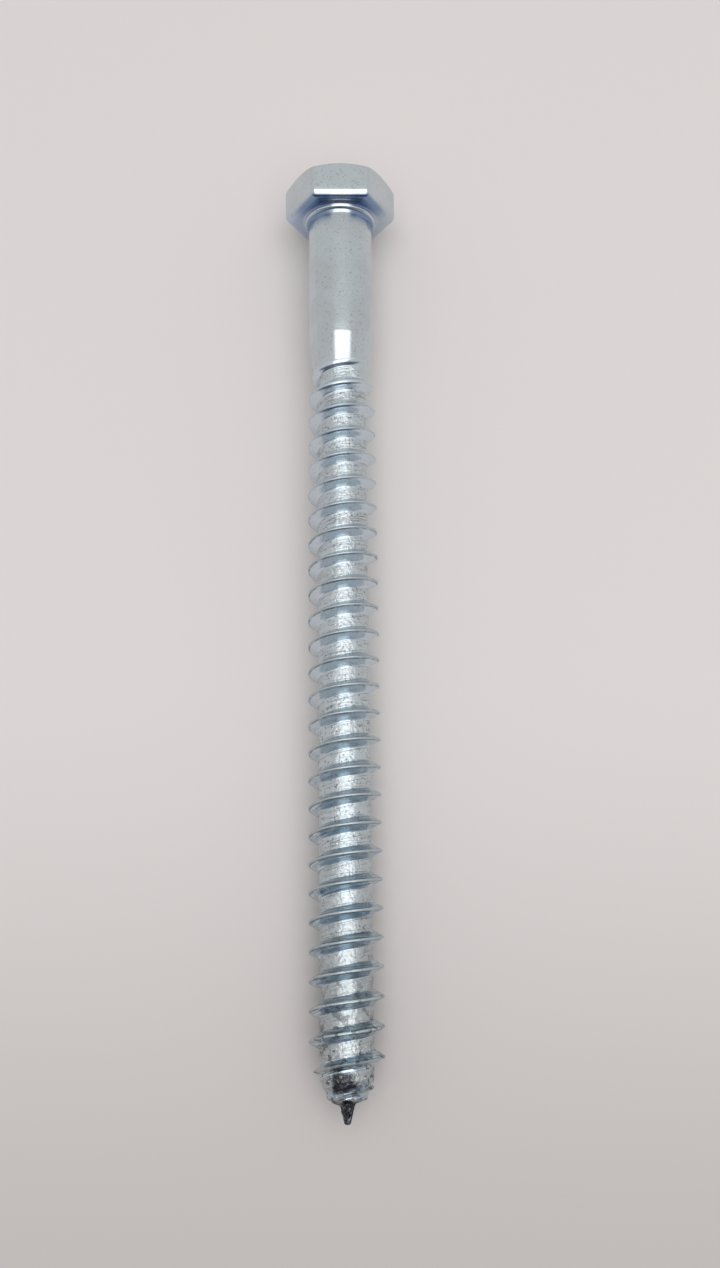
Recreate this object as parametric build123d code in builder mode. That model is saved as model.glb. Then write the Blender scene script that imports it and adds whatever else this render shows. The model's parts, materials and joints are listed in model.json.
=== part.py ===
from build123d import *
import os
from math import atan, cos, radians, sin, tan

# Hex lag screw for wood, 3/8 in by 5 in, seven threads to the inch, in millimetres.
# The real one is headed, drawn down and thread-rolled from one length of wire, so it is one solid.
#
# It is built upright in its own frame: the axis is Z, the bearing face under the head is z = 0
# and the tip is at z = screw_length. Then it is laid down as it rests on a flat surface, on one
# flat of the head and on the last full turn of thread, with the head towards +Y.

# Head
across_flats = 14.1
head_height = 5.5
head_corner_radius = 0.9        # upright edges between the flats
head_edge_radius = 1.1          # rounded edge between the flats and the bearing face
crown_diameter = 13.4           # flat circle on top of the head
crown_angle = 30.0              # chamfer from that circle down to the corners

# Collar under the head, and the taper from it down to the shank
collar_diameter = 10.4
collar_height = 0.6
collar_chamfer = 0.2
neck_length = 0.65
neck_step = 0.3

# Shank, shoulder and the thinner blank that the thread is rolled on
shank_diameter = 9.25
shank_length = 20.0             # bearing face to the start of the shoulder
shoulder_length = 4.4
blank_diameter = 8.1

# Thread
pitch = 25.4 / 7
crest_diameter = 9.525
root_diameter = 6.73
flank_angle = 60.0              # between the two flanks of the ridge
thread_start_angle = 73.0       # where the groove opens, turned from +X towards +Y
crest_rise = 6.3                # axial length over which the crests grow to full height
crest_margin = 0.04             # trimming tools stand this far off the surfaces they run out on
ridge_root = 0.2                # how deep the ridge is sunk into the core
flank_lap = 0.05                # how far the ridge covers the end of the blank
spans_per_turn = 3              # the full ridge is wound in short equal spans

# Gimlet point
screw_length = 125.6            # bearing face to the tip
crest_fall_length = 7.3         # tip to where the crests begin to fall away
crest_fall_angle = 25.0         # how steeply they do
core_fall_length = 5.0          # tip to where the core begins to close in
nose_length = 2.55              # tip to where the last turn breaks off
nose_diameter = 5.2
nose_core_length = 2.7          # tip to the steep end of the core
nose_core_diameter = 3.0
pin_length = 1.9                # bare pin at the tip
pin_diameter = 1.6
tip_diameter = 0.8
point_ridge_root = 0.5          # how deep the ridge is sunk where the core closes in

# Worked out from the sizes above
crest_radius = crest_diameter / 2
root_radius = root_diameter / 2
blank_radius = blank_diameter / 2
shank_radius = shank_diameter / 2
ridge_height = crest_radius - root_radius
flank_slope = tan(radians(flank_angle / 2))
shoulder_end = shank_length + shoulder_length
first_crest = shoulder_end - (crest_radius - blank_radius) * flank_slope
ridge_start = shoulder_end + (crest_radius - blank_radius) * flank_slope
blank_turn = 0.97 * pitch       # the groove cuts the end of the blank off over nearly one turn
crest_fall = screw_length - crest_fall_length
nose_start = screw_length - nose_length
pin_start = screw_length - pin_length
spans = round(spans_per_turn * (crest_fall - ridge_start) / pitch)
span_length = (crest_fall - ridge_start) / spans


def thread_plane(height):
    """Level plane at this height, turned to the angle that the thread has reached there."""
    angle = radians(thread_start_angle + 360 * (height - first_crest) / pitch)
    return Plane(origin=(0, 0, height), x_dir=(cos(angle), sin(angle), 0), z_dir=(0, 0, 1))


def wound(section, length, cone_angle=0.0):
    """Outline of (radius, height) points, carried up the thread's helix from +X for this length."""
    with BuildPart() as winding:
        with BuildLine() as path:
            Helix(
                pitch=pitch / cos(radians(cone_angle)),
                height=length,
                radius=root_radius,
                cone_angle=-cone_angle,
            )
        with BuildSketch(Plane.XZ):
            with BuildLine():
                Polyline(*section, close=True)
            make_face()
        sweep(path=path.line, is_frenet=True)
    return winding.part


def ridge_section(sunk):
    """Sharp ridge of the thread, its foot sunk this deep below the root."""
    half_foot = (ridge_height + sunk) * flank_slope
    return [(root_radius - sunk, -half_foot), (crest_radius, 0), (root_radius - sunk, half_foot)]


# Head: a forged hexagon with a chamfered top and a rounded lower edge
with BuildPart() as head:
    with BuildSketch(Plane.XY.offset(-head_height)):
        RegularPolygon(radius=across_flats / 2, side_count=6, major_radius=False)
    extrude(amount=head_height)
    fillet(head.edges().filter_by(Axis.Z), head_corner_radius)
    fillet(head.faces().sort_by(Axis.Z)[-1].edges(), head_edge_radius)
    with BuildSketch(Plane.XZ):
        with BuildLine():
            crown_radius = crown_diameter / 2
            crown_fall = (across_flats - crown_radius) * tan(radians(crown_angle))
            Polyline(
                (0, 0),
                (0, -head_height),
                (crown_radius, -head_height),
                (across_flats, -head_height + crown_fall),
                (across_flats, 0),
                close=True,
            )
        make_face()
    revolve(axis=Axis.Z, mode=Mode.INTERSECT)

# Stem: everything round below the head, with the core that the thread stands on
with BuildPart() as stem:
    with BuildSketch(Plane.XZ):
        with BuildLine():
            collar_radius = collar_diameter / 2
            Polyline(
                (0, -head_height / 2),
                (shank_radius, -head_height / 2),
                (shank_radius, 0),
                (collar_radius, 0),
                (collar_radius, collar_height - collar_chamfer),
                (collar_radius - collar_chamfer, collar_height),
                (shank_radius + neck_step, collar_height),
                (shank_radius, collar_height + neck_length),
                (shank_radius, shank_length),
                (blank_radius, shoulder_end),
                (root_radius, shoulder_end),
                (root_radius, screw_length - core_fall_length),
                (nose_core_diameter / 2, screw_length - nose_core_length),
                (pin_diameter / 2, pin_start),
                (tip_diameter / 2, screw_length),
                (0, screw_length),
                close=True,
            )
        make_face()
    revolve(axis=Axis.Z)

# End of the blank: its last turn, which the groove has cut off along the flank of the thread
with BuildPart() as blank_end:
    with BuildSketch(Plane.XY.offset(shoulder_end)):
        Circle(blank_radius)
    extrude(amount=blank_turn)
    groove_floor = root_radius - ridge_root
    groove_mouth = blank_radius + ridge_root
    groove_end = shoulder_end + blank_turn - first_crest + flank_lap
    with Locations(thread_plane(first_crest)):
        add(
            wound(
                [
                    (groove_floor, (crest_radius - groove_floor) * flank_slope - flank_lap),
                    (groove_mouth, (crest_radius - groove_mouth) * flank_slope - flank_lap),
                    (groove_mouth, groove_end),
                    (groove_floor, groove_end),
                ],
                blank_turn,
            ),
            mode=Mode.SUBTRACT,
        )

# Ridge of the thread: it grows out of the blank, and winds down the gimlet point
with BuildPart() as ridge:
    with Locations(*[thread_plane(ridge_start + k * span_length) for k in range(spans)]):
        add(wound(ridge_section(ridge_root), span_length))
    with BuildSketch(Plane.XZ):
        with BuildLine():
            Polyline(
                (blank_radius + crest_margin, shoulder_end),
                (crest_radius + crest_margin, shoulder_end + crest_rise),
                (crest_diameter, shoulder_end + crest_rise),
                (crest_diameter, shoulder_end),
                close=True,
            )
        make_face()
    revolve(axis=Axis.Z, mode=Mode.SUBTRACT)

with BuildPart() as point_ridge:
    with Locations(thread_plane(crest_fall)):
        add(wound(ridge_section(point_ridge_root), pin_start - crest_fall, crest_fall_angle))
    with BuildSketch(Plane.XZ):
        with BuildLine():
            Polyline(
                (nose_diameter / 2, nose_start),
                (0, pin_start),
                (0, screw_length),
                (crest_diameter, screw_length),
                (crest_diameter, nose_start),
                close=True,
            )
        make_face()
    revolve(axis=Axis.Z, mode=Mode.SUBTRACT)

# The whole screw, upright
with BuildPart() as upright:
    add(head.part)
    add(stem.part)
    add(blank_end.part)
    add(ridge.part)
    add(point_ridge.part)

# The screw at rest. Its axis dips towards the point, because the crests stand lower than the
# flats of the head. It touches on the lower edge of one flat and on the last crest underneath.
first_low_crest = first_crest + pitch * (270 - thread_start_angle) / 360
last_low_crest = first_low_crest + (crest_fall - first_low_crest) // pitch * pitch
dip = atan((across_flats / 2 - crest_radius) / (last_low_crest + head_edge_radius))
axis_height = across_flats / 2 * cos(dip) - head_edge_radius * sin(dip)
axis_offset = ((screw_length - head_height) * cos(dip) - crown_radius * sin(dip)) / 2
rest_plane = Plane(
    origin=(0, axis_offset, axis_height), x_dir=(1, 0, 0), z_dir=(0, -cos(dip), -sin(dip))
)

with BuildPart(rest_plane) as lag_screw:
    add(upright.part)

lag_screw.part.label = "lag_screw"
os.makedirs("parts", exist_ok=True)
export_step(lag_screw.part, "parts/lag_screw.step")
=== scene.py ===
import json
from math import atan, cos, pi, radians, sin, tan

import bmesh
import bpy
from mathutils import Matrix, Vector


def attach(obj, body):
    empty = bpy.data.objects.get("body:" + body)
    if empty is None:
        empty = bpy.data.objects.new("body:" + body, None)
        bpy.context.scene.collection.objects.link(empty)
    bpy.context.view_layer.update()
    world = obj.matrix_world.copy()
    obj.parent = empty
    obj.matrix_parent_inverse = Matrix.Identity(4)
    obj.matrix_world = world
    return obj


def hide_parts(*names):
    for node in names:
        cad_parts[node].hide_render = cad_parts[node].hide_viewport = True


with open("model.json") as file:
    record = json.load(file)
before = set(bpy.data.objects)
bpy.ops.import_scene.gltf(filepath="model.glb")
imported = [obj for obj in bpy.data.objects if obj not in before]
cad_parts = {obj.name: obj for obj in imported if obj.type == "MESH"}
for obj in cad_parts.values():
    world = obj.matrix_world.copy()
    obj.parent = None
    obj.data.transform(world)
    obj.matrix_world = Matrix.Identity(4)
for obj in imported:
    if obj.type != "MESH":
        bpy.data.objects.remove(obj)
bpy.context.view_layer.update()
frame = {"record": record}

# Places come from the frame: the screw's axis runs from the middle of the head's top to the tip.
# Everything on the screw is made upright in millimetres, z from the bearing face to the tip,
# y up when the screw lies at rest, and is laid down and turned to metres at the end.
mounts = {mount["name"]: mount for mount in frame["record"]["mounts"]}
headTop = Vector(mounts["hex_drive"]["pos_m"])
screwTip = Vector(mounts["wood_thread"]["pos_m"])
bearingPoint = Vector(mounts["bearing_face"]["pos_m"])
toTip = (screwTip - headTop).normalized()
toSide = Vector((1, 0, 0))
toTop = toTip.cross(toSide)
headHeight = (bearingPoint - headTop).dot(toTip) * 1000
screwLength = (screwTip - bearingPoint).dot(toTip) * 1000
bearingCentre = headTop + toTip * headHeight / 1000
layDown = Matrix.Translation(bearingCentre) @ Matrix((toSide, toTop, toTip)).transposed().to_4x4()
layDown = layDown @ Matrix.Scale(0.001, 4)

# what a step's word stands for in the tables below; any other word is a Math node's operation
stepNodes = {
    "RAMP": ("ShaderNodeMapRange", {"interpolation_type": "SMOOTHSTEP"}),  # value, its 0 and its 1
    "NOISE": ("ShaderNodeTexNoise", {}),                                   # place, None, scale, detail
    "VECTOR": ("ShaderNodeCombineXYZ", {}),
}


def linearColour(hexText):
    channels = [int(hexText[i:i + 2], 16) / 255 for i in (1, 3, 5)]
    return [c / 12.92 if c <= 0.04045 else ((c + 0.055) / 1.055) ** 2.4 for c in channels] + [1.0]


def addNode(tree, kind, values=None, **settings):
    # values: a list in socket order, or a dictionary by socket name; a socket as a value is linked
    made = tree.nodes.new(kind)
    for name, setting in settings.items():
        setattr(made, name, setting)
    pairs = values.items() if isinstance(values, dict) else enumerate(values or [])
    for socket, value in pairs:
        if isinstance(value, bpy.types.NodeSocket):
            tree.links.new(value, made.inputs[socket])
        elif value is not None:
            made.inputs[socket].default_value = value
    return made


def addSteps(tree, made, steps):
    # a step is a result's name, a word, and its inputs: numbers, or the names of earlier results
    for name, word, *inputs in steps:
        values = [made[i] if isinstance(i, str) else i for i in inputs]
        kind, settings = stepNodes.get(word, ("ShaderNodeMath", {"operation": word}))
        made[name] = addNode(tree, kind, values, **settings).outputs[0]


# thread: rolled, so it stands above the shoulder's blank and its groove opens at one place
thread = {
    "pitch": 25.4 / 7,
    "crestRadius": 4.76,
    "crestFlat": 0.27,        # width of the flat that rolling leaves on a full crest
    "rootRadius": 3.365,
    "flankAngle": 60.0,       # between the two flanks of a ridge
    "firstCrest": 22.364,     # height where the crest line would start, underneath the screw
    "openingTurn": 0.33,      # share of a turn from underneath to where the groove opens
    "openingLength": 0.14,    # share of a turn over which it reaches its depth
    "rootEdge": 0.16,         # softness of the corners at the root
    "rootSoftShare": 0.6,     # how much of the first crests' softness their roots have too
    "pebbleSize": 0.5,        # bumps that the rolling dies leave on the root
    "pebbleDepth": 0.15,
    "pebbleStart": 0.8,       # distance from the crest where they begin, and where they are full
    "pebbleFull": 1.2,
    "burrCut": 0.66,          # of the same noise: dents below it and burrs above it, round the point
    "burrDepth": 0.4,
    "burrLength": 7.0,        # distance from the tip to where they begin
    "quietLength": 1.0,       # length at the tip over which bumps and burrs die away
    "waveSize": 2.2,          # unevenness of the crests
    "waveDepth": 0.06,
    "noiseDetail": 2.0,
    "threadEnd": 1.7,         # distance from the tip to the end of the last turn
    "closeLength": 0.05,      # length at the tip over which the pin closes
    "turns": 29,
    "rowsPerTurn": 27,
    "crowding": 0.45,         # how strongly the rows crowd towards the crests
    "pinRows": 18,
    "columns": 96,
    "weldDistance": 0.0003,
}
# what each law follows, and its points: a height or a distance from the tip, and a radius or softness
threadLaws = {
    "blank": ("height", [
        (18.6, 4.60), (18.8, 4.60), (20.0, 4.575), (20.25, 4.55), (24.2, 4.06), (25.0, 4.045)]),
    "runIn": ("height", [
        (24.0, 3.95), (26.9, 4.40), (28.7, 4.60), (30.5, 4.73), (31.5, 4.76), (32.0, 4.76)]),
    "runInSoft": ("height", [(24.0, 0.9), (32.0, 0.9), (42.0, 0.5), (56.0, 0.12)]),  # of the crests
    "pointCrest": ("fromTip", [
        (1.7, 0.4), (2.1, 0.9), (3.0, 2.62), (4.7, 3.52), (6.6, 4.42), (8.6, 5.0), (10.0, 5.3)]),
    "core": ("fromTip", [
        (0.0, 0.0), (0.04, 0.28), (0.2, 0.41), (0.7, 0.55), (2.1, 0.86), (2.5, 1.05),
        (3.0, 2.45), (3.6, 2.62), (4.5, 3.0), (5.2, 3.365), (8.0, 3.365)]),
}
threadSizes = dict(thread, length=screwLength)
lawReach = 6.0     # a curve node runs from 0 to 1, so this stands for its 1: no radius is larger


def addLaw(tree, source, points):
    low, high = points[0][0], points[-1][0]
    share = addNode(tree, "ShaderNodeMapRange", {"Value": source, "From Min": low, "From Max": high})
    curve = addNode(tree, "ShaderNodeFloatCurve", {"Value": share.outputs[0]})
    knots = curve.mapping.curves[0].points
    while len(knots) < len(points):
        knots.new(0.5, 0.5)
    for knot, (z, r) in zip(knots, points):
        knot.location = ((z - low) / (high - low), r / lawReach)
        knot.handle_type = "VECTOR"
    curve.mapping.update()
    return addNode(tree, "ShaderNodeMath", [curve.outputs[0], lawReach], operation="MULTIPLY").outputs[0]


def threadTree(material):
    tree = bpy.data.node_groups.new("rolledThread", "GeometryNodeTree")
    tree.interface.new_socket("Geometry", in_out="OUTPUT", socket_type="NodeSocketGeometry")
    for name, value in threadSizes.items():
        kind = "NodeSocketInt" if isinstance(value, int) else "NodeSocketFloat"
        tree.interface.new_socket(name, in_out="INPUT", socket_type=kind)
    made = {socket.name: socket for socket in addNode(tree, "NodeGroupInput").outputs if socket.name}
    place = addNode(tree, "GeometryNodeInputPosition").outputs[0]
    made["across"], made["along"] = addNode(tree, "ShaderNodeSeparateXYZ", [place]).outputs[:2]

    # The grid's rows wind round the screw once for each turn: the last column of a row meets the
    # first column one turn further on. The first and last turn fan out from a level ring.
    addSteps(tree, made, [
        ("threadRows", "MULTIPLY_ADD", "turns", "rowsPerTurn", "rowsPerTurn"),
        ("rows", "ADD", "threadRows", "pinRows"),
        ("rowLines", "ADD", "rows", 1.0),
        ("columnLines", "ADD", "columns", 1.0),
        ("rowShare", "ADD", "across", 0.5),
        ("turn", "ADD", "along", 0.5),
        ("rowExact", "MULTIPLY", "rowShare", "rows"),
        ("row", "ROUND", "rowExact"),
        ("bands", "DIVIDE", "row", "rowsPerTurn"),
        ("before", "SUBTRACT", "bands", 1.0),
        ("beforeMost", "MINIMUM", "before", "turns"),
        ("lowTurn", "MAXIMUM", "beforeMost", 0.0),
        ("allBands", "ADD", "turns", 1.0),
        ("bandsLeft", "SUBTRACT", "allBands", "bands"),
        ("fan", "MINIMUM", "bands", "bandsLeft"),
        ("fanMost", "MINIMUM", "fan", 1.0),
        ("fanned", "MAXIMUM", "fanMost", 0.0),
        ("highTurn", "ADD", "lowTurn", "fanned"),
        ("threadSpan", "MULTIPLY", "turns", "pitch"),
        ("lastTurnEnd", "SUBTRACT", "length", "threadEnd"),
        ("threadStart", "SUBTRACT", "lastTurnEnd", "threadSpan"),
        ("crestAfter", "SUBTRACT", "firstCrest", "threadStart"),
        ("crestPhase", "DIVIDE", "crestAfter", "pitch"),
        ("crowdShare", "DIVIDE", "crowding", 2 * pi),
        ("phaseAngle", "MULTIPLY", "crestPhase", 2 * pi),
        ("phaseSine", "SINE", "phaseAngle"),
    ])
    for end in ("low", "high"):
        addSteps(tree, made, [
            (end + "Angle", "MULTIPLY", end + "Turn", 2 * pi),
            (end + "Off", "SUBTRACT", end + "Angle", "phaseAngle"),
            (end + "Sine", "SINE", end + "Off"),
            (end + "Both", "ADD", end + "Sine", "phaseSine"),
            (end + "Crowd", "MULTIPLY", end + "Both", "crowdShare"),
            (end + "Crowded", "SUBTRACT", end + "Turn", end + "Crowd"),
        ])

    # how high each point is, how far from the nearest crest, and whether the groove is open there
    addSteps(tree, made, [
        ("rise", "SUBTRACT", "highCrowded", "lowCrowded"),
        ("turned", "MULTIPLY_ADD", "rise", "turn", "lowCrowded"),
        ("threadHeight", "MULTIPLY_ADD", "turned", "pitch", "threadStart"),
        ("pinRow", "SUBTRACT", "row", "threadRows"),
        ("pinRowsDone", "MAXIMUM", "pinRow", 0.0),
        ("pinShare", "DIVIDE", "pinRowsDone", "pinRows"),
        ("height", "MULTIPLY_ADD", "pinShare", "threadEnd", "threadHeight"),
        ("fromTip", "SUBTRACT", "length", "height"),
        ("aboveFirst", "SUBTRACT", "height", "firstCrest"),
        ("windings", "DIVIDE", "aboveFirst", "pitch"),
        ("windingExact", "SUBTRACT", "windings", "turn"),
        ("windingNudged", "ADD", "windingExact", 0.0001),      # so both ends of a row round alike
        ("winding", "FLOOR", "windingNudged"),
        ("offCrest", "MULTIPLY", "windingExact", "pitch"),
        ("halfPitch", "MULTIPLY", "pitch", 0.5),
        ("fromCrest", "PINGPONG", "offCrest", "halfPitch"),
        ("grooveTurns", "ADD", "winding", "turn"),
        ("openingEnd", "ADD", "openingTurn", "openingLength"),
        ("opened", "RAMP", "grooveTurns", "openingTurn", "openingEnd"),
        ("angle", "MULTIPLY_ADD", "turn", 2 * pi, -pi / 2),
        ("cosine", "COSINE", "angle"),
        ("sine", "SINE", "angle"),
        ("besideX", "MULTIPLY", "cosine", "rootRadius"),
        ("besideY", "MULTIPLY", "sine", "rootRadius"),
        ("beside", "VECTOR", "besideX", "besideY", "height"),
        ("pebbleScale", "DIVIDE", 1.0, "pebbleSize"),
        ("pebble", "NOISE", "beside", None, "pebbleScale", "noiseDetail"),
        ("waveScale", "DIVIDE", 1.0, "waveSize"),
        ("wave", "NOISE", "beside", None, "waveScale", "noiseDetail"),
    ])
    for name, (source, points) in threadLaws.items():
        made[name] = addLaw(tree, made[source], points)

    # the radius there: blank, ridge and groove, then the unevenness of a rolled and used thread
    addSteps(tree, made, [
        ("halfFlank", "MULTIPLY", "flankAngle", pi / 360),
        ("flankTangent", "TANGENT", "halfFlank"),
        ("halfFlat", "MULTIPLY", "crestFlat", 0.5),
        ("flatRise", "DIVIDE", "halfFlat", "flankTangent"),
        ("levelApex", "ADD", "crestRadius", "flatRise"),
        ("waveDrop", "MULTIPLY", "wave", "waveDepth"),
        ("fullApex", "SUBTRACT", "levelApex", "waveDrop"),
        ("apex", "MINIMUM", "fullApex", "pointCrest"),
        ("flankDrop", "DIVIDE", "fromCrest", "flankTangent"),
        ("flank", "SUBTRACT", "apex", "flankDrop"),
        ("crest", "MAXIMUM", "runIn", "blank"),
        ("ridge", "SMOOTH_MIN", "crest", "flank", "runInSoft"),
        ("floorDrop", "SUBTRACT", "core", "blank"),
        ("floor", "MULTIPLY_ADD", "floorDrop", "opened", "blank"),
        ("runInRoot", "MULTIPLY", "runInSoft", "rootSoftShare"),
        ("rootSofter", "MAXIMUM", "rootEdge", "runInRoot"),
        ("rootSoft", "MULTIPLY", "rootSofter", "opened"),
        ("smoothRadius", "SMOOTH_MAX", "floor", "ridge", "rootSoft"),
        ("tipQuiet", "DIVIDE", "fromTip", "quietLength"),
        ("tipLoud", "MINIMUM", "tipQuiet", 1.0),
        ("rootShare", "RAMP", "fromCrest", "pebbleStart", "pebbleFull"),
        ("pebbled", "SUBTRACT", "pebble", 0.5),
        ("pebbleHere", "MULTIPLY", "pebbled", "pebbleDepth"),
        ("pebbleRoot", "MULTIPLY", "pebbleHere", "rootShare"),
        ("pebbleBump", "MULTIPLY", "pebbleRoot", "tipLoud"),
        ("nearTip", "DIVIDE", "fromTip", "burrLength"),
        ("tipShare", "SUBTRACT", 1.0, "nearTip"),
        ("tipMost", "MAXIMUM", "tipShare", 0.0),
        ("burrShare", "MULTIPLY", "tipMost", "tipLoud"),
        ("burrHere", "MULTIPLY", "burrShare", "burrDepth"),
        ("burrSpan", "SUBTRACT", "pebble", "burrCut"),
        ("burred", "MULTIPLY_ADD", "burrSpan", "burrHere", "smoothRadius"),
        ("roughRadius", "MULTIPLY_ADD", "pebbleBump", "opened", "burred"),
        ("tipNear", "DIVIDE", "fromTip", "closeLength"),
        ("tipClosed", "MINIMUM", "tipNear", 1.0),
        ("radius", "MULTIPLY", "roughRadius", "tipClosed"),
        ("x", "MULTIPLY", "radius", "cosine"),
        ("y", "MULTIPLY", "radius", "sine"),
        ("spot", "VECTOR", "x", "y", "height"),
        ("kept", "VECTOR", "fromCrest", "opened"),             # read by the material as "winding"
    ])
    grid = addNode(tree, "GeometryNodeMeshGrid", {
        "Size X": 1.0, "Size Y": 1.0, "Vertices X": made["rowLines"], "Vertices Y": made["columnLines"]})
    noted = addNode(tree, "GeometryNodeStoreNamedAttribute", [
        grid.outputs[0], None, "winding", made["kept"]], data_type="FLOAT_VECTOR", domain="POINT")
    wound = addNode(tree, "GeometryNodeSetPosition", {
        "Geometry": noted.outputs[0], "Position": made["spot"]})
    closed = addNode(tree, "GeometryNodeMergeByDistance", {
        "Geometry": wound.outputs[0], "Distance": made["weldDistance"]})
    plain = addNode(tree, "GeometryNodeRealizeInstances", [closed.outputs[0]])
    plated = addNode(tree, "GeometryNodeSetMaterial", {
        "Geometry": plain.outputs[0], "Material": material})
    addNode(tree, "NodeGroupOutput", [plated.outputs[0]])
    return tree


def threadMesh(material):
    tree = threadTree(material)
    holder = bpy.data.objects.new("threadHolder", bpy.data.meshes.new("threadHolder"))
    bpy.context.scene.collection.objects.link(holder)
    modifier = holder.modifiers.new("rolledThread", "NODES")
    modifier.node_group = tree
    for socket in tree.interface.items_tree:
        if socket.in_out == "INPUT":
            modifier[socket.identifier] = threadSizes[socket.name]
    evaluated = holder.evaluated_get(bpy.context.evaluated_depsgraph_get())
    mesh = bpy.data.meshes.new_from_object(evaluated)
    holder.modifiers.remove(modifier)
    bpy.data.objects.remove(holder)
    print("thread", thread["turns"], "turns,", len(mesh.polygons), "faces")
    return mesh


# head, collar, neck and shank: rings of points, from the crown down to the thread
head = {
    "acrossFlats": 14.1,
    "cornerRadius": 0.9,
    "sharpestCorner": 0.05,    # what is left of it where the hexagon is drawn in
    "edgeRadius": 1.1,         # between the flats and the bearing face
    "crownRadius": 6.7,
    "crownAngle": 30.0,
    "collarRadius": 5.2,
    "collarHeight": 0.6,
    "collarEdge": 0.46,
    "footReach": 0.42,         # hollow where the collar meets the bearing face
    "footHeight": 0.13,
    "neckReach": 0.3,          # hollow between the collar and the shank
    "neckHeight": 0.65,
    "shankRadius": 4.62,
    "shankDraw": 15.5,         # height where the shank begins to draw down to the shoulder
    "crownShares": (0.25, 0.5, 0.75, 0.9),
    "shankHeights": (2.0, 4.0, 6.5, 9.0, 11.5, 14.0, 16.5, 17.5, 18.3),
    "cornerColumns": 8,
    "chamferRings": 4,
    "flatRings": 4,
    "edgeRings": 8,
    "bendRings": 5,            # in the foot and round the collar's edge
    "neckRings": 8,
    "weldDistance": 0.0005,
    "sharpAngle": 40,
}


def hexRadius(angle, inset=0.0):
    # distance from the axis to the rounded hexagon, drawn in by inset; corners at 0, 60, 120 degrees
    side = abs((angle + pi / 6) % (pi / 3) - pi / 6)      # angle from the nearest corner
    apothem = head["acrossFlats"] / 2 - inset
    corner = max(head["cornerRadius"] - inset, head["sharpestCorner"])
    flatEnd = (apothem - corner) * tan(pi / 6)            # where the round begins along the flat
    if apothem * tan(pi / 6 - side) <= flatEnd:
        return apothem / cos(pi / 6 - side)
    centre = (apothem - corner) / cos(pi / 6)
    return centre * cos(side) + (corner ** 2 - (centre * sin(side)) ** 2) ** 0.5


def headSpot(angle, ring):
    # radius and height of a ring at this angle, from the crown's edge down the flats to the bearing face
    crown, edge = head["crownRadius"], head["edgeRadius"]
    outer = hexRadius(angle)
    crownDrop = (outer - crown) * tan(radians(head["crownAngle"]))
    flatStart = head["chamferRings"]
    edgeStart = flatStart + head["flatRings"]
    if ring < flatStart:
        share = ring / flatStart
        return crown + (outer - crown) * share, crownDrop * share - headHeight
    if ring < edgeStart:
        share = (ring - flatStart) / head["flatRings"]
        top = crownDrop - headHeight
        return outer, top + (-edge - top) * share
    bend = (ring - edgeStart) / head["edgeRings"] * pi / 2
    inner = hexRadius(angle, edge)
    return inner + (outer - inner) * cos(bend), edge * sin(bend) - edge


def hexAngles():
    # the head's columns crowd at its rounded corners
    apothem = head["acrossFlats"] / 2
    cornerSpan = pi / 6 - atan((apothem - head["cornerRadius"]) * tan(pi / 6) / apothem)
    flatSpan = pi / 3 - 2 * cornerSpan
    cornerColumns = head["cornerColumns"]
    flatColumns = thread["columns"] // 6 - cornerColumns
    angles = []
    for side in range(6):
        cornerStart = side * pi / 3 - cornerSpan
        flatStart = side * pi / 3 + cornerSpan
        angles += [cornerStart + 2 * cornerSpan * k / cornerColumns for k in range(cornerColumns)]
        angles += [flatStart + flatSpan * k / flatColumns for k in range(flatColumns)]
    return angles


def roundProfile():
    # (radius, height) points of the collar, neck and shank
    collar, top, edge = head["collarRadius"], head["collarHeight"], head["collarEdge"]
    shank, draw = head["shankRadius"], head["shankDraw"]
    bends = [k / head["bendRings"] * pi / 2 for k in range(head["bendRings"] + 1)]
    neckBends = [k / head["neckRings"] * pi / 2 for k in range(head["neckRings"] + 1)]
    profile = []
    for bend in bends:
        out, down = head["footReach"] * (1 - sin(bend)), head["footHeight"] * (1 - cos(bend))
        profile.append((collar + out, down))
    for bend in bends:
        profile.append((collar - edge * (1 - cos(bend)), top - edge * (1 - sin(bend))))
    for bend in neckBends:
        out, down = head["neckReach"] * (1 - sin(bend)), head["neckHeight"] * (1 - cos(bend))
        profile.append((shank + out, top + down))
    threadStart = screwLength - thread["threadEnd"] - thread["turns"] * thread["pitch"]
    blankRadius = threadLaws["blank"][1][0][1]
    for z in sorted((*head["shankHeights"], draw, threadStart)):
        share = max(0.0, (z - draw) / (threadStart - draw))
        profile.append((shank + (blankRadius - shank) * share ** 2, z))
    return profile


def headMesh():
    columns = thread["columns"]
    hexagon = hexAngles()
    level = [2 * pi * j / columns for j in range(columns)]
    rings = []
    for share in head["crownShares"]:
        rings.append([(a, head["crownRadius"] * share, -headHeight) for a in hexagon])
    for k in range(head["chamferRings"] + head["flatRings"] + head["edgeRings"] + 1):
        rings.append([(a, *headSpot(a, k)) for a in hexagon])
    for radius, z in roundProfile():
        rings.append([(a, radius, z) for a in level])
    shape = bmesh.new()
    middle = shape.verts.new((0, 0, -headHeight))
    lines = [[shape.verts.new((r * cos(a), r * sin(a), z)) for a, r, z in ring] for ring in rings]
    for j in range(columns):
        shape.faces.new((middle, lines[0][(j + 1) % columns], lines[0][j]))
    for upper, lower in zip(lines, lines[1:]):
        for j in range(columns):
            k = (j + 1) % columns
            shape.faces.new((upper[j], upper[k], lower[k], lower[j]))
    mesh = bpy.data.meshes.new("head")
    shape.to_mesh(mesh)
    shape.free()
    print("head, collar and shank", len(mesh.polygons), "faces")
    return mesh


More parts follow.
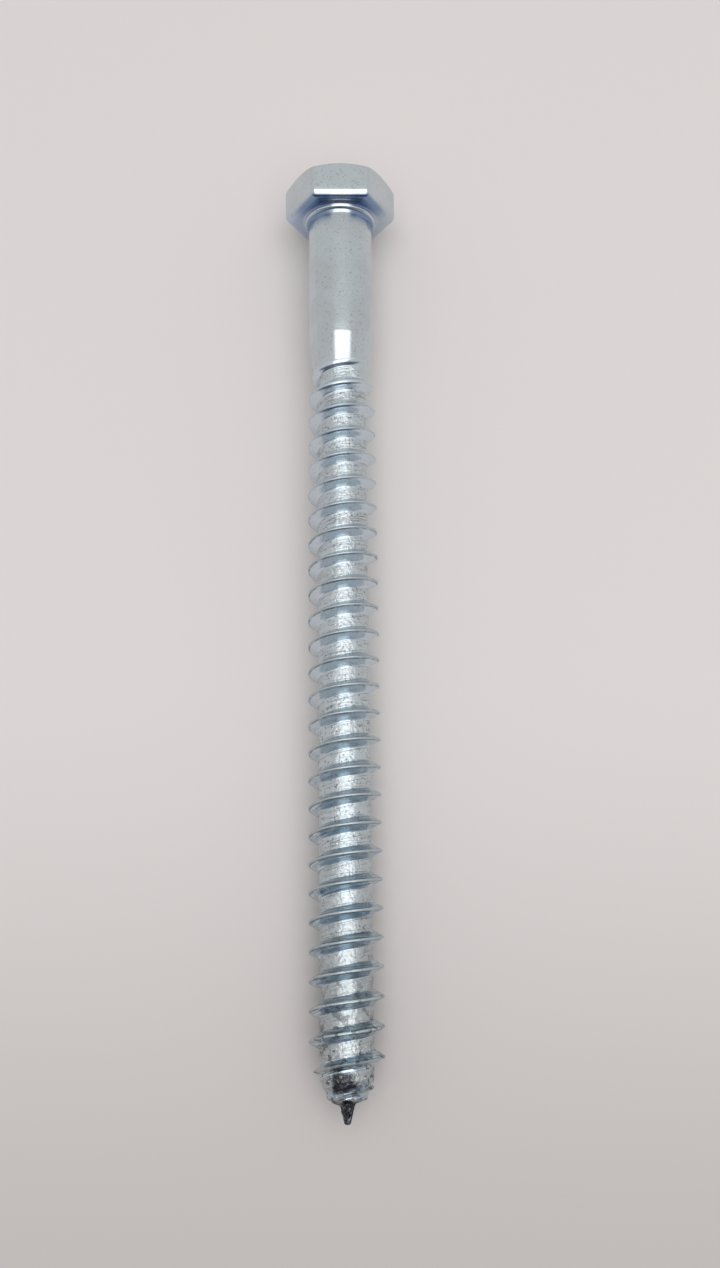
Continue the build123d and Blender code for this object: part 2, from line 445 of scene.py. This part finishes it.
# zinc plate with a clear blue passivate: a pale, slightly blue metal that mirrors the room softly
finish = {
    "plate": "#cad4d9",
    "thin": "#c5cdd1",            # where the passivate is thinner it looks greyer
    "sideShade": "#bcc8dd",          # painted shade on the left of the bearing face, tinted with the film's blue
    "pooled": "#8097b6",          # painted shade in the corner under the head and round the neck, in the film's blue
    "litFlank": "#cfdae2",     # painted reflection: flanks near the shank drawn lighter
    "flank": "#b4c3cd",           # painted shade with the film's blue: flanks drawn darker and bluer towards the point
    "blueStreak": "#7d98b2",      # thicker film in the rolling lines of those flanks
    "paleStreak": "#dfe7ea",      # lines there that are rubbed bright
    "shadeDull": "#a3a6a6",            # painted shade: the plating drawn duller and darker towards the point
    "seam": "#5f6c73",            # dark line along both edges of a crest, where the rolled metal folds
    "speck": "#4a4f55",           # dirt and small pits
    "crest": "#b9c4c8",           # flat of the crest, duller than the rest
    "score": "#98a2a6",           # fine lines that rolling draws along the thread's root
    "fleck": "#f2f3f0",           # fresh scratches that glint near the point
    "bare": "#2a2a30",            # steel at the point, where the plating is worn off
    "roughness": 0.15,
    "roughnessVaries": 0.1,       # at most this much is added to it
    "rootRougher": 0.18,
    "crestRougher": 0.25,
    "cloudSize": 5.0,             # sizes and depths of the patterns, in millimetres
    "mottleSize": 0.9,
    "peelSize": 0.3,
    "peelDepth": 0.007,
    "pitSize": 0.42,
    "pitDepth": 0.12,
    "scoreWidth": 0.12,
    "scoreLength": 2.0,
    "scoreDepth": 0.015,
    "speckSize": 0.3,
    "patternDetail": 2.5,
    "seamLeast": 0.3,             # share of a tint where it is faintest, and how much more elsewhere
    "seamMore": 0.7,
    "crestLeast": 0.35,
    "crestMore": 0.6,
    "filmLeast": 0.3,
    "filmMore": 0.7,
    "poolLeast": 0.15,
    "poolMore": 0.85,
    "speckLeast": 0.25,
    "speckTipMore": 0.6,
    "speckRootMore": 0.4,
    "flakedLeast": 0.68,
    "flakedMore": 0.3,
    "dullMost": 0.45,
    "grimeMost": 0.75,
    "wornMost": 0.96,
    "raggedness": 3.0,            # how far the worn patch's right edge strays
}
# each mask follows something on the screw, and rises from 0 at the first number to 1 at the second
finishMasks = {
    "crestTop": ("fromCrest", 0.22, 0.13),
    "crestBand": ("fromCrest", 0.29, 0.2),
    "aboveRoot": ("fromCrest", 1.05, 0.85),
    "rootFloor": ("fromCrest", 0.85, 1.05),
    "sharpCrests": ("height", 40.0, 52.0),
    # painted shade: the flanks drawn darker towards the point
    "darkening": ("height", 66.0, 98.0),
    # painted shade: rises towards the point
    "dulling": ("fromTip", 42.0, 8.0),
    "tipDirt": ("fromTip", 26.0, 6.0),
    "clouded": ("cloud", 0.38, 0.62),
    "speckled": ("speck", 0.59, 0.67),
    "scored": ("score", 0.56, 0.68),
    "rubbed": ("score", 0.44, 0.34),
    "grimy": ("mottle", 0.53, 0.63),
    "broken": ("mottle", 0.4, 0.55),
    "flecked": ("peel", 0.6, 0.68),
    "flaked": ("pit", 0.66, 0.52),
    # where the painted shade under the head lies: the corner at the bearing face, its top, the neck,
    # away from the middle, towards the left
    "cornerStart": ("height", -0.7, -0.15),
    "cornerEnd": ("height", 0.34, 0.14),
    "neckStart": ("height", 0.5, 0.66),
    "neckEnd": ("height", 3.0, 0.7),
    "aside": ("besideAxis", 0.9, 2.2),
    "leftward": ("x", 4.0, -5.0),
    "topward": ("y", 0.5, 4.0),
    "pin": ("fromTip", 3.1, 2.6),
    "wornStart": ("fromTip", 6.4, 5.8),
    "wornEnd": ("fromTip", 3.4, 4.0),
    "wornLeft": ("x", -2.05, -1.6),
    "wornRight": ("ragged", 3.2, 1.9),
    "wornTop": ("y", 0.8, 1.4),
}
# what lies over what: a mask and its tint, from the plating outwards
finishLayers = [
    ("clouded", "thin"), ("brightFlanks", "litFlank"), ("dulled", "shadeDull"), ("flanks", "flank"),
    ("blueStreaks", "blueStreak"), ("paleStreaks", "paleStreak"), ("scoredRoots", "score"),
    ("crestDull", "crest"), ("seams", "seam"), ("filmedCorner", "sideShade"), ("pooled", "pooled"),
    ("grime", "speck"), ("specks", "speck"), ("flecks", "fleck"), ("worn", "bare"),
]


def zincPlate():
    material = bpy.data.materials.new("zincPlate")
    material.use_nodes = True
    tree = material.node_tree
    shader = tree.nodes["Principled BSDF"]
    made = {name: value for name, value in finish.items() if not isinstance(value, str)}
    # the patterns lie in the upright screw's own millimetres
    place, turn, size = layDown.inverted().decompose()
    made["spot"] = addNode(tree, "ShaderNodeMapping", {
        "Vector": addNode(tree, "ShaderNodeTexCoord").outputs["Object"],
        "Location": place, "Rotation": turn.to_euler(), "Scale": size}).outputs[0]
    made["x"], made["y"], made["height"] = addNode(tree, "ShaderNodeSeparateXYZ", [made["spot"]]).outputs
    winding = addNode(tree, "ShaderNodeAttribute", attribute_name="winding").outputs["Vector"]
    made["fromCrest"], made["groove"] = addNode(tree, "ShaderNodeSeparateXYZ", [winding]).outputs[:2]
    addSteps(tree, made, [
        (name, "NOISE", "spot", None, 1 / finish[name + "Size"], "patternDetail")
        for name in ("cloud", "mottle", "peel", "pit", "speck")
    ])
    addSteps(tree, made, [
        ("fromTip", "SUBTRACT", screwLength, "height"),
        ("besideAxis", "ABSOLUTE", "x"),
        ("ragged", "MULTIPLY_ADD", "mottle", "raggedness", "x"),
        ("scoreAcross", "DIVIDE", "fromCrest", "scoreWidth"),       # fine lines run along the crest
        ("scoreBeside", "DIVIDE", "x", "scoreLength"),
        ("scoreX", "ADD", "scoreBeside", "scoreAcross"),
        ("scoreY", "DIVIDE", "y", "scoreLength"),
        ("scoreZ", "DIVIDE", "height", "scoreLength"),
        ("scorePlace", "VECTOR", "scoreX", "scoreY", "scoreZ"),
        ("score", "NOISE", "scorePlace", None, 1.0, 1.0),
    ])
    addSteps(tree, made, [(name, "RAMP", *span) for name, span in finishMasks.items()])
    addSteps(tree, made, [
        ("edgeLine", "SUBTRACT", "crestBand", "crestTop"),
        ("seamShare", "MULTIPLY", "edgeLine", "sharpCrests"),
        ("seamHere", "MULTIPLY", "seamShare", "groove"),
        ("seamBroken", "MULTIPLY_ADD", "broken", "seamMore", "seamLeast"),
        ("seams", "MULTIPLY", "seamHere", "seamBroken"),
        ("crests", "MULTIPLY", "crestTop", "groove"),
        ("crestShare", "MULTIPLY_ADD", "sharpCrests", "crestMore", "crestLeast"),
        ("crestDull", "MULTIPLY", "crests", "crestShare"),
        ("roots", "MULTIPLY", "rootFloor", "groove"),
        ("scoredRoots", "MULTIPLY", "scored", "roots"),
        # flanks: painted reflection lighter near the shank, painted shade darker towards the point
        ("flankBand", "MULTIPLY", "aboveRoot", "groove"),
        ("flanks", "MULTIPLY", "flankBand", "darkening"),
        ("brightFlanks", "SUBTRACT", "flankBand", "flanks"),
        ("blueStreaks", "MULTIPLY", "scored", "flanks"),
        ("paleStreaks", "MULTIPLY", "rubbed", "flanks"),
        ("corner", "MULTIPLY", "cornerStart", "cornerEnd"),
        # painted shade: the bearing face's corner drawn darker and bluer, more on the left
        ("filmedSide", "MULTIPLY_ADD", "leftward", "filmMore", "filmLeast"),
        ("filmedCorner", "MULTIPLY", "corner", "filmedSide"),
        # painted shade: the corner's top and the neck drawn darkest, less in the middle
        ("neck", "MULTIPLY", "neckStart", "neckEnd"),
        ("cornerTop", "MULTIPLY", "corner", "topward"),
        ("pooledBands", "ADD", "cornerTop", "neck"),
        ("asideShare", "MULTIPLY_ADD", "aside", "poolMore", "poolLeast"),
        ("pooled", "MULTIPLY", "pooledBands", "asideShare"),
        # painted shade, darker towards the point
        ("dulled", "MULTIPLY", "dulling", "dullMost"),
        ("grimeHere", "MULTIPLY", "grimy", "tipDirt"),
        ("grime", "MULTIPLY", "grimeHere", "grimeMost"),
        ("flecks", "MULTIPLY", "flecked", "tipDirt"),
        ("specksOut", "MULTIPLY_ADD", "tipDirt", "speckTipMore", "speckLeast"),
        ("specksIn", "MULTIPLY_ADD", "roots", "speckRootMore", "specksOut"),
        ("specks", "MULTIPLY", "speckled", "specksIn"),
        ("wornAcross", "MULTIPLY", "wornLeft", "wornRight"),
        ("wornAlong", "MULTIPLY", "wornStart", "wornEnd"),
        ("wornPatch", "MULTIPLY", "wornAcross", "wornAlong"),
        ("wornUp", "MULTIPLY", "wornPatch", "wornTop"),
        ("wornPin", "MAXIMUM", "wornUp", "pin"),
        ("wornWhole", "MULTIPLY", "wornPin", "wornMost"),
        ("flakedShare", "MULTIPLY_ADD", "flaked", "flakedMore", "flakedLeast"),
        ("worn", "MULTIPLY", "wornWhole", "flakedShare"),
        ("rough", "MULTIPLY_ADD", "mottle", "roughnessVaries", "roughness"),
        ("roughRoot", "MULTIPLY_ADD", "roots", "rootRougher", "rough"),
        ("roughAll", "MULTIPLY_ADD", "crests", "crestRougher", "roughRoot"),
        ("peelHeight", "MULTIPLY", "peel", "peelDepth"),
        ("pitHeight", "MULTIPLY", "pit", "pitDepth"),
        ("scoreHeight", "MULTIPLY_ADD", "score", "scoreDepth", "pitHeight"),
        ("bumps", "MULTIPLY_ADD", "scoreHeight", "roots", "peelHeight"),
    ])
    colour = linearColour(finish["plate"])
    for mask, tint in finishLayers:
        layer = {0: made[mask], 6: colour, 7: linearColour(finish[tint])}
        colour = addNode(tree, "ShaderNodeMix", layer, data_type="RGBA").outputs[2]
    # heights are in millimetres
    bump = addNode(tree, "ShaderNodeBump", {"Strength": 1.0, "Distance": 0.001, "Height": made["bumps"]})
    tree.links.new(colour, shader.inputs["Base Color"])
    tree.links.new(made["roughAll"], shader.inputs["Roughness"])
    tree.links.new(bump.outputs[0], shader.inputs["Normal"])
    shader.inputs["Metallic"].default_value = 1.0
    print("zinc plate", len(finishLayers), "tints over the plating")
    return material


def buildScrew():
    material = zincPlate()
    shape = bmesh.new()
    shape.from_mesh(threadMesh(material))
    shape.from_mesh(headMesh())
    bmesh.ops.remove_doubles(shape, verts=shape.verts, dist=head["weldDistance"])
    bmesh.ops.recalc_face_normals(shape, faces=shape.faces)
    openEdges = [edge for edge in shape.edges if not edge.is_manifold]
    for face in shape.faces:
        face.smooth = True
    bmesh.ops.transform(shape, matrix=layDown, verts=shape.verts)
    mesh = bpy.data.meshes.new("lagScrew")
    shape.to_mesh(mesh)
    print("screw", len(mesh.polygons), "faces, open edges", len(openEdges))
    shape.free()
    mesh.set_sharp_from_angle(angle=radians(head["sharpAngle"]))
    mesh.materials.clear()
    mesh.materials.append(material)
    screw = bpy.data.objects.new("lagScrew", mesh)
    bpy.context.scene.collection.objects.link(screw)
    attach(screw, "root")
    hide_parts("lag_screw")


# studio: matt paper floor with painted shade this side of the point, one softbox and a pale room, darker
# low down behind the camera
studio = {
    "floorFar": "#d6d2d1",           # floor beyond the head
    "floorShadedNear": "#b9b4b2",          # painted shade: the floor drawn darker this side of the point
    "floorShift": (-0.005, -0.095),  # where along y it changes from one to the other
    "floorSize": 2.0,
    "floorRoughness": 0.9,
    "lampSize": (1.05, 1.55),
    "lampPlace": (0.10, -0.34, 1.0),
    "lampPower": 7.0,
    "roomLight": "#cfcdcc",          # pale walls and ceiling
    "roomDark": "#3c4c63",
    "roomFacing": (0.0, 0.8, 0.6),   # towards the palest part
    "roomShift": (-0.6, -0.05),      # where it changes from dark to pale, 1 being the palest part
    "roomStrength": 1.08,
}


def mattPaper():
    material = bpy.data.materials.new("mattPaperFloor")
    material.use_nodes = True
    tree = material.node_tree
    shader = tree.nodes["Principled BSDF"]
    place = addNode(tree, "ShaderNodeTexCoord").outputs["Object"]
    made = {"along": addNode(tree, "ShaderNodeSeparateXYZ", [place]).outputs[1]}
    # painted shade: the floor darker this side of the point
    addSteps(tree, made, [("near", "RAMP", "along", *studio["floorShift"])])
    layer = {0: made["near"], 6: linearColour(studio["floorFar"]), 7: linearColour(studio["floorShadedNear"])}
    colour = addNode(tree, "ShaderNodeMix", layer, data_type="RGBA").outputs[2]
    tree.links.new(colour, shader.inputs["Base Color"])
    shader.inputs["Roughness"].default_value = studio["floorRoughness"]
    return material


def buildFloor():
    shape = bmesh.new()
    bmesh.ops.create_grid(shape, x_segments=1, y_segments=1, size=studio["floorSize"] / 2)
    mesh = bpy.data.meshes.new("studioFloor")
    shape.to_mesh(mesh)
    shape.free()
    mesh.materials.append(mattPaper())
    floor = bpy.data.objects.new("studioFloor", mesh)
    bpy.context.scene.collection.objects.link(floor)


def buildLights():
    lamp = bpy.data.lights.new("softbox", "AREA")
    lamp.shape = "RECTANGLE"
    lamp.size, lamp.size_y = studio["lampSize"]
    lamp.energy = studio["lampPower"]
    softbox = bpy.data.objects.new("softbox", lamp)
    softbox.location = studio["lampPlace"]
    bpy.context.scene.collection.objects.link(softbox)

    world = bpy.data.worlds.new("studio")
    world.use_nodes = True
    tree = world.node_tree
    background = tree.nodes["Background"]
    towards = addNode(tree, "ShaderNodeTexCoord").outputs["Generated"]
    facing = addNode(tree, "ShaderNodeVectorMath", [towards, studio["roomFacing"]],
                     operation="DOT_PRODUCT").outputs["Value"]
    made = {"facing": facing}
    addSteps(tree, made, [("pale", "RAMP", "facing", *studio["roomShift"])])
    layer = {0: made["pale"], 6: linearColour(studio["roomDark"]), 7: linearColour(studio["roomLight"])}
    colour = addNode(tree, "ShaderNodeMix", layer, data_type="RGBA").outputs[2]
    tree.links.new(colour, background.inputs["Color"])
    background.inputs["Strength"].default_value = studio["roomStrength"]
    bpy.context.scene.world = world
    print("studio: floor, softbox and room")


# camera: seen from above the threaded end, so the head is further away
camera = {
    "focal": 40.02,
    "sensor": 36.0,
    "nearest": 0.005,
    "place": (-2.067, -117.115, 181.759),    # from the bearing point: to the right, towards the head, up
    "pitch": 0.2887,
    "yaw": 0.0226,
    "roll": -0.0052,
}


def buildCamera():
    data = bpy.data.cameras.new("camera")
    data.lens = camera["focal"]
    data.sensor_width = camera["sensor"]
    data.clip_start = camera["nearest"]
    view = bpy.data.objects.new("camera", data)
    bpy.context.scene.collection.objects.link(view)
    pitch, yaw, roll = camera["pitch"], camera["yaw"], camera["roll"]
    right, up, back = toSide, -toTip, toTop      # the screw's own frame, head towards up
    forward = up * sin(pitch) - back * cos(pitch)
    upward = up * cos(pitch) + back * sin(pitch)
    forward, right = forward * cos(yaw) + right * sin(yaw), right * cos(yaw) - forward * sin(yaw)
    right, upward = right * cos(roll) + upward * sin(roll), upward * cos(roll) - right * sin(roll)
    x, y, z = camera["place"]
    place = bearingCentre + (toSide * x - toTip * y + toTop * z) / 1000
    turn = Matrix((right, upward, -forward)).transposed().to_4x4()
    view.matrix_world = Matrix.Translation(place) @ turn
    bpy.context.scene.camera = view
    print("camera", camera["focal"], "mm")


buildScrew()
buildFloor()
buildLights()
buildCamera()
bpy.context.scene.view_settings.view_transform = "Standard"
